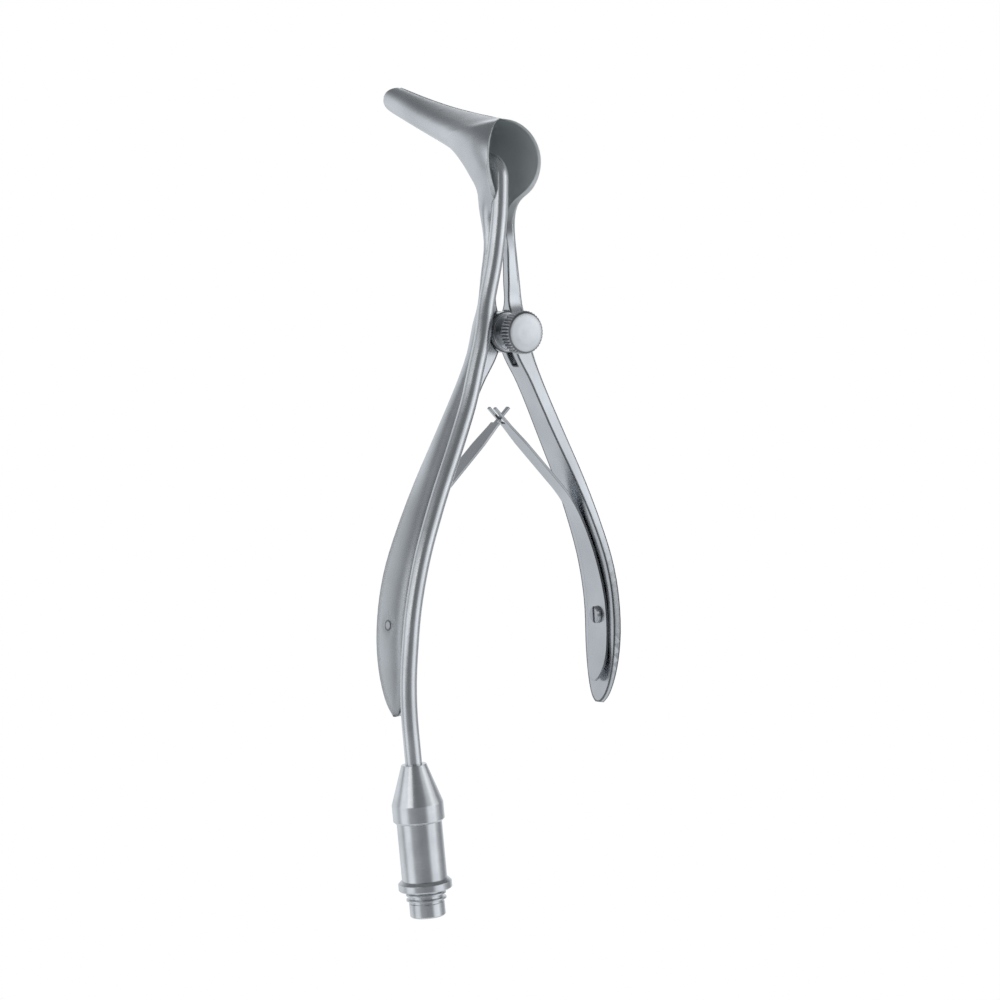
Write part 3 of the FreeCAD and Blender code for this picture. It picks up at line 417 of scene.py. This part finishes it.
@dataclass(frozen=True)
class SatinSteel:
    """Blasted and brushed stainless steel, as on the arms and the leaf springs.

    Attributes:
        name: The material's name.
        colour: The steel's colour.
        tones: Factors on it for the darkest and the lightest patch.
        roughness: Roughness before brushing and wear.
        brushed_rough: What the brushing adds or takes away.
        handled_rough: What the wear adds or takes away.
        grain: Grains per metre, and per metre too the strokes, clouds and worn patches.
        stretch: How many strokes there are along their run for one across it.
        grain_depth: Height of grain and brushing together.
        grain_share: The grain's part of that height.
        edge_radius: Rounding of the edges.
        edge_polish: How much smoother an edge is.
        edge_shade: Painted shade on faces that look forward or back: how much darker they are.
        side_shade_colour: Colour of those sides.
        blade_height: Where the strokes turn to follow the blades.
        matt_height: Where the matt inside begins.
        matt_share: How much of the blasted colour shows there.
        matt_rough: How much rougher it is there.
        metallic_loss: How much less metallic it is there.
        crease_radius: Width of the line along an edge: painted shade below the funnel,
        and above it a lighter line, partly wear and partly painted highlight.
        crease_bend: The bend at which that line is full.
        crease_samples: How finely it is felt for.
        crease_shade_tone: Factor on the colour in the dark line.
        worn_highlight_tone: Factor on the colour in the worn line.
        belly_radius: Rounding of the handles' outer sides, or 0 for none.
        belly_samples: How finely it is felt for.
        belly_height: Where it ends.
        belly_shade: Painted shade: how much darker the outer sides are.
    """

    name: str
    colour: Colour
    blasted: Colour = (0.78, 0.82, 0.82)
    tones: Tuple[float, float] = (0.90, 1.06)
    roughness: float = 0.26
    brushed_rough: float = 0.16
    handled_rough: float = 0.10
    grain: float = 2600.0
    stroke: float = 5200.0
    cloud: float = 55.0
    wear: float = 190.0
    stretch: float = 0.03
    grain_depth: float = 0.000004
    grain_share: float = 0.55
    edge_radius: float = 0.0005
    edge_polish: float = 0.06
    edge_shade: float = 0.0
    side_shade_colour: Colour = (0.05, 0.055, 0.06)
    blade_height: float = 0.1795
    matt_height: float = 0.163
    matt_share: float = 0.8
    matt_rough: float = 0.2
    metallic_loss: float = 0.75
    crease_radius: float = 0.00065
    crease_bend: float = 0.005
    crease_samples: int = 10
    crease_shade_tone: float = 0.2
    worn_highlight_tone: float = 1.22
    belly_radius: float = 0.0
    belly_samples: int = 8
    belly_height: float = 0.115
    belly_shade: float = 0.24

    def facing_in(self, graph: Graph, spot: Signal) -> Signal:
        """How much a face looks at the other arm.

        Args:
            graph: The material's graph.
            spot: The shaded point.

        Returns:
            Above 0 on the inner faces, in metres off the middle; below 0 on the outer ones.
        """
        return (PIVOT.x - graph.length_along(spot, ACROSS)) * graph.facing(ACROSS)

    def matt_inside(self, graph: Graph, spot: Signal) -> Signal:
        """Where the funnel is blasted matt inside, so that it doesn't dazzle.

        Args:
            graph: The material's graph.
            spot: The shaded point.

        Returns:
            1 on the inside of the funnel and the blades, 0 elsewhere.
        """
        inward = self.facing_in(graph, spot).eased(0.0001, 0.0006)
        height = graph.length_along(spot, UP)
        return inward * height.eased(self.matt_height, self.matt_height + 0.008)

    def belly(self, graph: Graph, spot: Signal) -> Signal:
        """Where the handles' outer sides swell.

        Args:
            graph: The material's graph.
            spot: The shaded point.

        Returns:
            1 on the outer sides of the handles, 0 elsewhere.
        """
        height = graph.length_along(spot, UP)
        handle = 1.0 - height.eased(self.belly_height - 0.02, self.belly_height)
        return handle * (1.0 - self.facing_in(graph, spot).eased(-0.001, 0.001))

    def strokes(self, graph: Graph, spot: Signal) -> Signal:
        """Fine brushing that follows the handles, and the blades above them.

        Args:
            graph: The material's graph.
            spot: The shaded point.

        Returns:
            The brushing's height.
        """
        lengthwise = self.stroke * self.stretch
        along_handle = graph.noise(spot, (self.stroke, self.stroke, lengthwise), 3.0)
        along_blade = graph.noise(spot, (self.stroke, lengthwise, self.stroke), 3.0)
        height = graph.length_along(spot, UP)
        blade = height.eased(self.blade_height - 0.004, self.blade_height + 0.006)
        return along_handle * (1.0 - blade) + along_blade * blade

    def material(self) -> Any:
        """Build the material.

        Returns:
            The material.
        """
        graph = Graph(self.name)
        spot = graph.place()
        brushed = self.strokes(graph, spot)
        grain = graph.noise(spot, (self.grain,) * 3, 4.0)
        cloud = graph.noise(spot, (self.cloud,) * 3, 3.0)
        handled = graph.noise(spot, (self.wear,) * 3, 5.0)
        rounded = graph.rounded_normal(self.edge_radius)
        crease = graph.rounded_normal(self.crease_radius, self.crease_samples)
        edge = graph.edge_mask(crease, self.crease_bend)
        dark, light = [tinted(self.colour, share) for share in self.tones]
        tone = graph.blended(cloud.eased(*CLOUDY), dark, light)
        if self.belly_radius:
            belly = self.belly(graph, spot)
            swollen = graph.rounded_normal(self.belly_radius, self.belly_samples)
            rounded = graph.blended(belly, rounded, swollen)
            # Painted shade: the handles' outer sides are darkened towards black.
            tone = graph.blended(belly * self.belly_shade, tone, BLACK)
        height = graph.length_along(spot, UP)
        above = height.eased(self.matt_height - 0.006, self.matt_height)
        # Along sharp edges: painted shade below the funnel; above it a lighter line, partly wear
        # and partly painted highlight.
        line = graph.blended(above, tinted(self.colour, self.crease_shade_tone),
                             tinted(self.colour, self.worn_highlight_tone))
        tone = graph.blended(edge * (1.0 - above * 0.6), tone, line)
        matt = self.matt_inside(graph, spot)
        tone = graph.blended(matt * self.matt_share, tone, (*self.blasted, 1.0))
        # Painted shade on the leaf springs' sides that look forward or back, for the shadow between
        # leaf and handle.
        if self.edge_shade:
            forward = graph.facing(FORWARD)
            shaded_sides = (forward * forward).eased(0.3, 0.8)
            tone = graph.blended(shaded_sides * self.edge_shade, tone, (*self.side_shade_colour, 1.0))
        rough = (self.roughness + (brushed - 0.5) * self.brushed_rough
                 + (handled - 0.5) * self.handled_rough)
        relief = grain * self.grain_share + brushed * (1.0 - self.grain_share)
        graph.surface({
            "Base Color": tone,
            "Metallic": 1.0 - matt * self.metallic_loss,
            "Roughness": rough - edge * self.edge_polish + matt * self.matt_rough,
            "Normal": graph.bumped(relief, self.grain_depth, rounded),
        })
        return graph.material


@dataclass(frozen=True)
class TurnedSteel:
    """Steel with fine rings round an axis, as a lathe leaves it.

    Attributes:
        name: The material's name.
        colour: The steel's colour.
        origin: A point on the axis.
        axis: The axis' direction.
        tones: Factors on the colour for the darkest and the lightest patch.
        roughness: Roughness before rings and clouds.
        lathe_rough: What the rings add or take away.
        cloud_rough: What the clouds add or take away.
        rings: Rings per metre, and per metre too the clouds.
        ring_depth: Height of the rings.
        edge_radius: Rounding of the edges.
        edge_share: How much of the edge's tone shows on an edge.
        edge_tone: Factor on the colour there; below 1 it is painted shade along the edges.
        groove_radius: Outer radius of the knurling, or 0 for none.
        groove_depth: Depth of its grooves.
        groove_start: Shares of that radius between which the painted shade in the grooves begins.
        groove_shade_tone: Factor on the colour in them.
        face_height: Where an end face with a softer rim begins along the axis, or 0 for none.
        face_radius: Rounding of that rim.
    """

    name: str
    colour: Colour
    origin: Vector
    axis: Vector
    tones: Tuple[float, float] = (0.88, 1.05)
    roughness: float = 0.2
    lathe_rough: float = 0.12
    cloud_rough: float = 0.06
    rings: float = 9000.0
    cloud: float = 140.0
    ring_depth: float = 0.000003
    edge_radius: float = 0.0002
    edge_share: float = 0.6
    edge_tone: float = 1.25
    groove_radius: float = 0.0
    groove_depth: float = 0.0
    groove_start: Tuple[float, float] = (0.86, 0.9)
    groove_shade_tone: float = 0.32
    face_height: float = 0.0
    face_radius: float = 0.0012

    def material(self) -> Any:
        """Build the material.

        Returns:
            The material.
        """
        graph = Graph(self.name)
        spot = graph.place()
        offset = graph.moved(spot, tuple(self.origin), "SUBTRACT")
        height = graph.length_along(offset, self.axis)
        on_axis = graph.moved(tuple(self.axis), height, "SCALE")
        radial = graph.moved(offset, on_axis, "SUBTRACT")
        radius = Signal(graph, graph.vector("LENGTH", radial, (0.0, 0.0, 0.0)).outputs["Value"])
        combined = graph.node("ShaderNodeCombineXYZ", {}, {0: radius, 1: height})
        lathe = graph.noise(Signal(graph, combined.outputs[0]), (self.rings,) * 3, 2.0)
        cloud = graph.noise(spot, (self.cloud,) * 3, 4.0)
        rounded = graph.rounded_normal(self.edge_radius)
        edge = graph.edge_mask(rounded)
        if self.face_height:
            on_face = height.eased(self.face_height, self.face_height + 0.0001)
            rounded = graph.blended(on_face, rounded, graph.rounded_normal(self.face_radius))
        dark, light = [tinted(self.colour, share) for share in self.tones]
        tone = graph.blended(cloud.eased(*CLOUDY), dark, light)
        # Edges take edge_tone: lighter where it is above 1, painted shade where it is below 1.
        tone = graph.blended(edge * self.edge_share, tone, tinted(self.colour, self.edge_tone))
        # Painted shade in the knurling's grooves.
        if self.groove_radius:
            inside = 1.0 - radius.eased(self.groove_radius - self.groove_depth, self.groove_radius)
            starts = [self.groove_radius * share for share in self.groove_start]
            shaded = inside * radius.eased(*starts)
            tone = graph.blended(shaded, tone, tinted(self.colour, self.groove_shade_tone))
        graph.surface({
            "Base Color": tone,
            "Metallic": 1.0,
            "Roughness": (self.roughness + (lathe - 0.5) * self.lathe_rough
                          + (cloud - 0.5) * self.cloud_rough),
            "Normal": graph.bumped(lathe, self.ring_depth, rounded),
        })
        return graph.material


@dataclass(frozen=True)
class ClearGlass:
    """Polished optical glass with a faint haze.

    Attributes:
        name: The material's name.
        colour: The glass' colour.
        roughness: Roughness where the haze is thinnest.
    """

    name: str
    colour: Colour
    roughness: float = 0.04

    def material(self) -> Any:
        """Build the material.

        Returns:
            The material.
        """
        graph = Graph(self.name)
        haze = graph.noise(graph.place(), (900.0,) * 3, 3.0)
        graph.surface({
            "Base Color": (*self.colour, 1.0),
            "Roughness": self.roughness + haze * 0.05,
            "IOR": 1.5,
            "Transmission Weight": 0.85,
        })
        return graph.material


@dataclass(frozen=True)
class PackedFibres:
    """The polished end of a bundle of glass fibres.

    Attributes:
        name: The material's name.
        core: Colour of the fibres.
        cladding: Colour between them.
        fibre: A fibre's diameter.
    """

    name: str
    core: Colour
    cladding: Colour
    fibre: float = 0.00012

    def material(self) -> Any:
        """Build the material.

        Returns:
            The material.
        """
        graph = Graph(self.name)
        cells = graph.node("ShaderNodeTexVoronoi", {"feature": "DISTANCE_TO_EDGE"},
                           {"Vector": graph.place(), "Scale": 1.0 / self.fibre})
        inside = Signal(graph, cells.outputs["Distance"]).eased(0.02, 0.2)
        graph.surface({
            "Base Color": graph.blended(inside, (*self.cladding, 1.0), (*self.core, 1.0)),
            "Roughness": 0.35 - inside * 0.2,
            "Coat Weight": 0.4,
        })
        return graph.material


def dress(piece: Any, material: Any) -> None:
    """Give a piece one material all over.

    Args:
        piece: The mesh object.
        material: Its material.
    """
    piece.data.materials.clear()
    piece.data.materials.append(material)


@dataclass
class Arms:
    """The two forged arms, from the blades down to the handles.

    Attributes:
        nodes: The pieces' names.
        finish: Their steel.
    """

    nodes: Tuple[str, ...] = ("left_arm", "right_arm")
    # belly_radius also turns on the painted shade on the handles' outer sides.
    finish: SatinSteel = SatinSteel("satin_steel", (0.56, 0.578, 0.60), grain_depth=0.000003,
                                    belly_radius=0.0042)

    def build(self, frame: Dict[str, Any]) -> None:
        """Dress both arms.

        Args:
            frame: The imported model.
        """
        material = self.finish.material()
        for name in self.nodes:
            dress(frame["nodes"][name], material)
            LOG.info("%s dressed", name)


@dataclass
class LeafSprings:
    """The two leaves that cross below the joint and bend as the handles close.

    A leaf is followed from its tip down to its rounded tail. Heights are measured from
    the pivot, and the right leaf is the one that is worked out.

    Attributes:
        tip: Place of the tip, across and up.
        lean: Angle at which the leaf leaves its tip, from straight down.
        legs: Length and turn in degrees of each stretch.
        thickness: The leaf's thickness.
        widths: Pairs of height and half width.
        tail: Height of the rounded end.
        base: Height where fork and tongue begin.
        prong_slot: Half of the slot between the prongs.
        tongue: Half of the tongue's width.
        step: Longest distance between two rows of points.
        leave_height: Where the bending would start, above the connector's end face; not used.
        leave_offset: Distance of that place from the middle; not used.
        cross_height: Where the leaves cross, above the connector's end face; not used.
        finish: The leaves' steel.
    """

    tip: Tuple[float, float] = (-0.0023946, -0.0183069)
    lean: float = math.radians(44.773)
    legs: Tuple[Tuple[float, float], ...] = (
        (0.0271252, 0.0), (0.0115820, -21.0), (0.0233686, -18.7), (0.0164, -18.793))
    thickness: float = 0.0006
    widths: Tuple[Tuple[float, float], ...] = (
        (-0.0117, 0.0017), (-0.0228, 0.0017), (-0.0270, 0.0024), (-0.0456, 0.0024),
        (-0.0658, 0.0038), (-0.0780, 0.0038))
    tail: float = -0.08596
    base: float = -0.0220206
    prong_slot: float = 0.00085
    tongue: float = 0.00055
    step: float = 0.0008
    leave_height: float = 0.0905
    leave_offset: float = 0.0222
    cross_height: float = 0.1165
    # Painted shade along the leaves' edges and on their forward and back sides.
    finish: SatinSteel = SatinSteel("spring_steel", (0.54, 0.556, 0.58), roughness=0.24,
                                    edge_radius=0.00012, edge_shade=0.45,
                                    crease_radius=0.00015, crease_shade_tone=0.6)

    def at(self, run: float) -> Tuple[Vector, Vector]:
        """Follow the leaf's middle from its tip.

        Args:
            run: Distance from the tip.

        Returns:
            The point there and the direction square to the leaf, outwards.
        """
        spot = Vector((self.tip[0], 0.0, self.tip[1]))
        lean, left = self.lean, run
        for length, degrees in self.legs:
            part = min(left, length)
            bend = math.radians(degrees) * part / length
            chord = part if bend == 0 else part * math.sin(bend / 2.0) / (bend / 2.0)
            spot += Vector((math.sin(lean + bend / 2.0), 0.0, -math.cos(lean + bend / 2.0))) * chord
            lean, left = lean + bend, left - part
        return spot, Vector((math.cos(lean), 0.0, math.sin(lean)))

    def half_width(self, height: float) -> float:
        """Half of the leaf's width.

        Args:
            height: Height above the pivot.

        Returns:
            The half width at that height.
        """
        low, wide = self.widths[-1]
        if height < low:
            share = min(1.0, (low - height) / (low - self.tail))
            return wide * math.sqrt(max(0.004, 1.0 - share * share))
        for (upper, first), (lower, last) in zip(self.widths, self.widths[1:]):
            if height >= lower:
                share = min(1.0, max(0.0, (upper - height) / (upper - lower)))
                return first + (last - first) * share
        return wide

    def stations(self) -> List[float]:
        """Runs of the rows of points, with one exactly at the fork's base."""
        length = sum(leg for leg, _ in self.legs)
        count = math.ceil(length / self.step)
        runs = [length * step / count for step in range(count)]
        runs += [length - self.step * share for share in (0.6, 0.35, 0.15, 0.05)]
        drop = (self.tip[1] - self.base) / math.cos(self.lean)
        return sorted(runs + [drop])

    def rows(self, shape: Any, side: float) -> List[Tuple[float, List[List[Any]]]]:
        """Set out the rows of points from the tip to the tail.

        Args:
            shape: The mesh that is being built.
            side: 1 for the right leaf and -1 for the left.

        Returns:
            Each row's height and its points, those of the outer face first.
        """
        inner = self.prong_slot if side > 0 else self.tongue
        rows = []
        for run in self.stations():
            spot, outward = self.at(run)
            half = self.half_width(spot.z)
            near = min(inner, half * 0.5)
            across = [-half, -(half + near) / 2.0, -near, 0.0, near, (half + near) / 2.0, half]
            faces = []
            for offset in (self.thickness / 2.0, -self.thickness / 2.0):
                faces.append([shape.verts.new((
                    PIVOT.x + side * (spot.x + outward.x * offset), PIVOT.y + depth,
                    PIVOT.z + spot.z + outward.z * offset)) for depth in across])
            rows.append((spot.z, faces))
        return rows

    def cells(self, heights: Sequence[float], forked: bool) -> Set[Tuple[int, int]]:
        """Pick the cells of the leaf that carry steel.

        Args:
            heights: The rows' heights, the tip's first.
            forked: Whether the middle is left out beyond the base, or the two sides are.

        Returns:
            Row and column of each cell.
        """
        kept = set()
        for row, (upper, lower) in enumerate(zip(heights, heights[1:])):
            beyond = (upper + lower) / 2.0 > self.base
            for column in range(6):
                middle = column in (2, 3)
                if not beyond or middle != forked:
                    kept.add((row, column))
        return kept

    def leaf(self, name: str, side: float) -> Any:
        """Make a leaf with enough rows of points to bend.

        Args:
            name: The piece's name.
            side: 1 for the right leaf, which ends in a fork, and -1 for the left, in a tongue.

        Returns:
            The piece.
        """
        shape = bmesh.new()
        rows = self.rows(shape, side)
        kept = self.cells([height for height, _ in rows], side > 0)
        for row, column in kept:
            quads = [[rows[row][1][face][column], rows[row][1][face][column + 1],
                      rows[row + 1][1][face][column + 1], rows[row + 1][1][face][column]]
                     for face in (0, 1)]
            outer, inner = quads
            shape.faces.new(outer)
            shape.faces.new(inner)
            beside = ((row - 1, column), (row, column + 1), (row + 1, column), (row, column - 1))
            for edge, neighbour in enumerate(beside):
                if neighbour not in kept:
                    after = (edge + 1) % 4
                    shape.faces.new([outer[edge], outer[after], inner[after], inner[edge]])
        shape.verts.ensure_lookup_table()
        for point in [point for point in shape.verts if not point.link_faces]:
            shape.verts.remove(point)
        bmesh.ops.recalc_face_normals(shape, faces=shape.faces)
        mesh = bpy.data.meshes.new(name)
        shape.to_mesh(mesh)
        shape.free()
        mesh.shade_smooth()
        mesh.set_sharp_from_angle(angle=math.radians(35.0))
        piece = bpy.data.objects.new(name, mesh)
        bpy.context.scene.collection.objects.link(piece)
        return piece

    def build(self) -> None:
        """Make both leaves, dress them and hide the imported leaf springs."""
        material = self.finish.material()
        bodies = ((-1.0, "left", Body.LEFT, Body.RIGHT), (1.0, "right", Body.RIGHT, Body.LEFT))
        for side, label, own, other in bodies:
            name = label + "_leaf_spring"
            piece = self.leaf(label + "_bending_leaf", side)
            dress(piece, material)
            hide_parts(name)
            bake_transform(piece)
            LOG.info("%s bends between the arms", piece.name)


@dataclass
class Joint:
    """Pivot screw, washer and set knob, and the leaves' screws.

    Attributes:
        turned: Colour of the turned steel.
        riveted: Colour of the leaves' screws.
        knob_radius: Outer radius of the knob.
        knurl_depth: Depth of its knurling.
        knob_face: Where its end face begins, backwards from the pivot.
        leaf_screw_height: Height of the leaves' screws.
        leaf_screw_offset: Their distance from the middle.
    """

    turned: Colour = (0.60, 0.615, 0.635)
    riveted: Colour = (0.45, 0.465, 0.485)
    knob_radius: float = 0.0052
    knurl_depth: float = 0.0004
    knob_face: float = 0.0108
    leaf_screw_height: float = 0.069
    leaf_screw_offset: float = 0.0285

    def build(self, frame: Dict[str, Any]) -> None:
        """Dress the turned pieces, each about its own axis.

        Args:
            frame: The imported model.
        """
        about_pivot = TurnedSteel("turned_steel", self.turned, PIVOT, PIVOT_AXIS)
        # The knob's knurling gets painted shade in its grooves.
        knob = TurnedSteel("knurled_steel", self.turned, PIVOT, PIVOT_AXIS, roughness=0.36,
                           edge_radius=0.00008, groove_radius=self.knob_radius,
                           groove_depth=self.knurl_depth, face_height=self.knob_face)
        for name, finish in (("pivot_screw", about_pivot), ("knob_washer", about_pivot),
                             ("set_knob", knob)):
            dress(frame["nodes"][name], finish.material())
            LOG.info("%s dressed", name)
        for side, label in ((-1.0, "left"), (1.0, "right")):
            spot = Vector((PIVOT.x + side * self.leaf_screw_offset, PIVOT.y,
                           self.leaf_screw_height))
            # edge_tone=0.1 paints shade round the edges of the screws' heads.
            finish = TurnedSteel(label + "_screw_steel", self.riveted, spot, Vector(ACROSS),
                                 edge_radius=0.0003, edge_tone=0.1)
            dress(frame["nodes"][label + "_spring_screw"], finish.material())
            LOG.info("%s spring screw dressed", label)


@dataclass
class LightGuide:
    """Light tube with its fibres and glass, and the cable connector.

    Attributes:
        polished: Colour of the polished steel.
        connector: The connector's pieces.
    """

    polished: Colour = (0.63, 0.645, 0.665)
    connector: Tuple[str, ...] = ("connector_cone", "connector_barrel", "flange_ring",
                                  "thread_ring", "connector_post")

    def build(self, frame: Dict[str, Any]) -> None:
        """Dress the tube, the glass pieces and the connector.

        Args:
            frame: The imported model.
        """
        tube = SatinSteel("drawn_tube", self.polished, roughness=0.28, grain_depth=0.000001,
                          edge_radius=0.0001)
        dress(frame["nodes"]["light_tube"], tube.material())
        polished = TurnedSteel("polished_steel", self.polished, ORIGIN, CONNECTOR_AXIS,
                               roughness=0.24, ring_depth=0.000001, edge_radius=0.00018)
        material = polished.material()
        for name in self.connector:
            dress(frame["nodes"][name], material)
        glass = ClearGlass("lens_glass", (0.90, 0.94, 0.93)).material()
        for name in ("exit_lens", "end_window"):
            dress(frame["nodes"][name], glass)
        fibres = PackedFibres("fibre", (0.80, 0.84, 0.78), (0.20, 0.22, 0.20))
        dress(frame["nodes"]["fibre_bundle"], fibres.material())
        LOG.info("light guide dressed")


@dataclass
class Studio:
    """Camera, lamps, floor and surroundings.

    Attributes:
        camera_spot: Where the camera stands.
        camera_aim: The point that it looks at.
        lens: Its focal length in millimetres.
        wall_strength: Factor on the walls' greys.
        ceiling: Brightness from above.
        table: Brightness from below.
        walls: The room's greys, by the angle from the camera's side.
        room_tone: Tint of the whole room.
        floor_height: The floor's height.
        floor_half: Half of its side length.
        floor_tone: Its colour.
        lamps: Name, place, side length and watts of each lamp.
    """

    camera_spot: Tuple[float, float, float] = (-0.5882, -0.9026, 0.1612)
    camera_aim: Tuple[float, float, float] = (0.0259, 0.0078, 0.0979)
    lens: float = 164.0
    wall_strength: float = 1.25
    ceiling: float = 0.24
    table: float = 0.85
    walls: Tuple[Tuple[float, Colour], ...] = tuple(
        (0.5 + degrees / 360.0, (grey, grey, grey)) for degrees, grey in (
            (-180.0, 0.80), (-164.0, 0.66), (-150.0, 0.72), (-130.0, 0.78), (-112.0, 0.74),
            (-98.0, 0.40), (-90.0, 0.42), (-80.0, 0.95), (-54.0, 0.95), (-40.0, 0.26), (0.0, 0.17),
            (36.0, 0.24), (50.0, 0.90), (82.0, 0.90), (98.0, 0.36), (128.0, 0.30), (150.0, 0.62),
            (180.0, 0.80)))
    room_tone: Colour = (0.93, 0.965, 1.0)
    floor_height: float = -0.014
    floor_half: float = 6.0
    floor_tone: Colour = (0.82, 0.82, 0.82)
    lamps: Tuple[Tuple[str, Tuple[float, float, float], float, float], ...] = (
        ("key", (-1.45, -0.55, 0.45), 0.7, 1.6), ("fill", (1.3, -0.9, 0.5), 1.2, 2.2),
        ("rim", (0.6, 1.3, 0.9), 0.7, 0.5))

    def camera(self) -> None:
        """Put the camera at the photograph's viewing angle."""
        data = bpy.data.cameras.new("camera")
        data.lens = self.lens
        data.sensor_width = 36.0
        data.clip_start = 0.01
        camera = bpy.data.objects.new("camera", data)
        camera.location = self.camera_spot
        aim = Vector(self.camera_aim) - Vector(self.camera_spot)
        camera.rotation_euler = aim.to_track_quat("-Z", "Y").to_euler()
        bpy.context.scene.collection.objects.link(camera)
        bpy.context.scene.camera = camera

    def lamp(self, name: str, spot: Sequence[float], side: float, power: float) -> None:
        """Hang a square soft box that faces the instrument.

        Args:
            name: The lamp's name.
            spot: Where it hangs.
            side: Its side length.
            power: Its power in watts.
        """
        data = bpy.data.lights.new(name, "AREA")
        data.size = side
        data.energy = power
        lamp = bpy.data.objects.new(name, data)
        lamp.location = spot
        lamp.rotation_euler = (PIVOT - Vector(spot)).to_track_quat("-Z", "Y").to_euler()
        bpy.context.scene.collection.objects.link(lamp)

    def floor(self) -> None:
        """Lay a pale floor that the camera sees as white."""
        mesh = bpy.data.meshes.new("floor")
        half = self.floor_half
        sheet = [(-half, -half), (half, -half), (half, half), (-half, half)]
        mesh.from_pydata([(x, y, self.floor_height) for x, y in sheet], [], [(0, 1, 2, 3)])
        floor = bpy.data.objects.new("floor", mesh)
        bpy.context.scene.collection.objects.link(floor)
        graph = Graph("pale_floor")
        rays = graph.node("ShaderNodeLightPath", {}, {})
        mirrored = Signal(graph, rays.outputs["Is Glossy Ray"])
        pale = graph.node("ShaderNodeBsdfDiffuse", {}, {"Color": (*self.floor_tone, 1.0)})
        clear = graph.node("ShaderNodeBsdfTransparent", {}, {})
        white = graph.node("ShaderNodeEmission", {}, {"Color": WHITE})
        graph.show(graph.mixed(graph.seen_directly(), graph.mixed(mirrored, pale, clear), white))
        dress(floor, graph.material)

    def surroundings(self) -> None:
        """Surround the instrument with a soft room, dark on the camera's side, a box each side."""
        graph = RoomGraph("room")
        ray = graph.node("ShaderNodeTexCoord", {}, {})
        direction = Signal(graph, ray.outputs["Generated"])
        towards = Vector(self.camera_spot) - PIVOT
        towards = Vector((towards.x, towards.y, 0.0)).normalized()
        facing = graph.length_along(direction, towards)
        side = graph.length_along(direction, (-towards.y, towards.x, 0.0))
        height = graph.length_along(direction, UP)
        turn = graph.math("ARCTAN2", side, facing) / (2.0 * math.pi) + 0.5
        wall = graph.node("ShaderNodeValToRGB", {"stops": self.walls}, {"Fac": turn})
        low = graph.math("MULTIPLY", Signal(graph, wall.outputs["Color"]), self.wall_strength)
        upward = height.eased(0.20, 0.72)
        downward = (0.0 - height).eased(0.18, 0.55)
        level = low * (1.0 - upward - downward) + self.ceiling * upward + self.table * downward
        room = graph.node("ShaderNodeBackground", {}, {"Color": (*self.room_tone, 1.0),
                                                       "Strength": level})
        white = graph.node("ShaderNodeBackground", {}, {"Color": WHITE})
        graph.show(graph.mixed(graph.seen_directly(), room, white))

    def build(self) -> None:
        """Set the stage."""
        self.camera()
        self.floor()
        self.surroundings()
        for lamp in self.lamps:
            self.lamp(*lamp)
        bpy.context.scene.view_settings.view_transform = "Standard"
        LOG.info("studio set")


def main() -> None:
    """Build the dressed instrument piece by piece."""
    logging.basicConfig(level=logging.INFO, format="%(name)s: %(message)s")
    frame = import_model()
    Arms().build(frame)
    LeafSprings().build()
    Joint().build(frame)
    LightGuide().build(frame)
    Studio().build()


if __name__ == "__main__":
    main()
